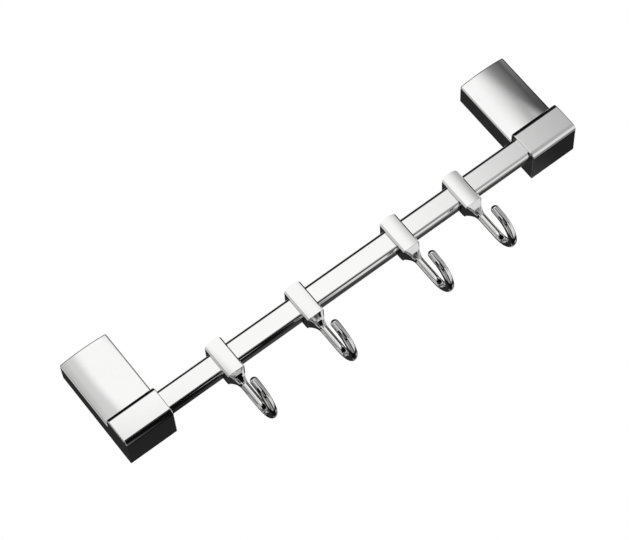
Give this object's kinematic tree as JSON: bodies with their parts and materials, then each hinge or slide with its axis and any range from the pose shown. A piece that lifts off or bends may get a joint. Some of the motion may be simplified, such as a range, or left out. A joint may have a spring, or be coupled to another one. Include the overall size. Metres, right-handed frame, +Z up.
{
  "type": "hook rail",
  "caption": "Chrome wall rail: a flat rounded tube held between crowned end brackets, with J-shaped wire hooks on collars that slide along it.",
  "frame": {"origin": "middle of the wall screw pattern, on the wall plane, halfway between the two brackets", "axes": "+X along the tube, +Y into the wall, +Z up"},
  "size_m": [0.4, 0.0617, 0.1316],
  "materials": {
    "bracket_chrome": "polished",
    "tube_chrome": "polished",
    "hook_chrome": "polished",
    "screw_steel": "satin"
  },
  "bodies": {
    "rail": {"left_bracket": "bracket_chrome", "right_bracket": "bracket_chrome", "left_cover": "bracket_chrome", "right_cover": "bracket_chrome", "bar": "tube_chrome", "left_grub_screw": "screw_steel", "right_grub_screw": "screw_steel"},
    "first_hook": {"hook_1": "hook_chrome"},
    "second_hook": {"hook_2": "hook_chrome"},
    "third_hook": {"hook_3": "hook_chrome"},
    "fourth_hook": {"hook_4": "hook_chrome"}
  },
  "joints": [
    {"name": "hook_1_slide", "type": "slide", "parent": "rail", "child": "first_hook", "axis": [1, 0, 0], "range_m": [-0.0449, 0.02755]},
    {"name": "hook_2_slide", "type": "slide", "parent": "rail", "child": "second_hook", "axis": [1, 0, 0], "range_m": [-0.02755, 0.0355]},
    {"name": "hook_3_slide", "type": "slide", "parent": "rail", "child": "third_hook", "axis": [1, 0, 0], "range_m": [-0.0355, 0.02105]},
    {"name": "hook_4_slide", "type": "slide", "parent": "rail", "child": "fourth_hook", "axis": [1, 0, 0], "range_m": [-0.02105, 0.0494]}
  ]
}
